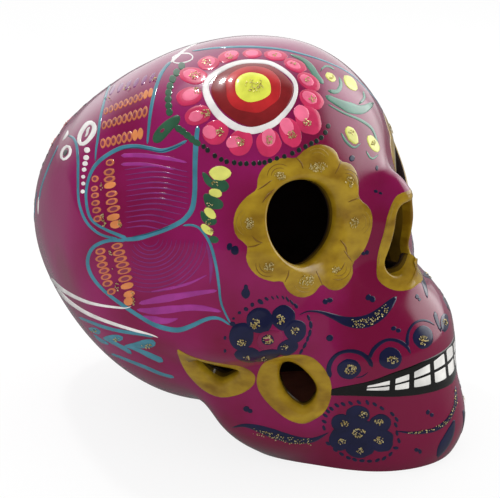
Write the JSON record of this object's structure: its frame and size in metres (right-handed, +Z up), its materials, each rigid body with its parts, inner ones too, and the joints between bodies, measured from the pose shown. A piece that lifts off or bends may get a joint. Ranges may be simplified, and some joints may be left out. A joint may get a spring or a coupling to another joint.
{
  "type": "painted clay skull",
  "caption": "Hollow painted clay skull with pierced eyes, nose and jaw, in magenta with gold collars and folk flowers; stands on its jaw.",
  "frame": {"origin": "middle of the floor area under the skull's box, on the surface that it stands on", "axes": "+Z up, -Y the way the skull faces, -X its own right side"},
  "size_m": [0.1204, 0.1548, 0.125],
  "materials": {
    "magenta_glaze": "gloss",
    "gold_enamel": "gloss",
    "bare_clay": "matte"
  },
  "bodies": {
    "root": {"face_shell": "magenta_glaze", "cranium_shell": "magenta_glaze", "lower_jaw": "magenta_glaze", "base_plate": "bare_clay", "nose_collar": "gold_enamel", "right_eye_collar": "gold_enamel", "right_jaw_collar": "gold_enamel", "right_cheek_collar": "gold_enamel", "left_eye_collar": "gold_enamel", "left_jaw_collar": "gold_enamel", "left_cheek_collar": "gold_enamel"}
  },
  "joints": []
}
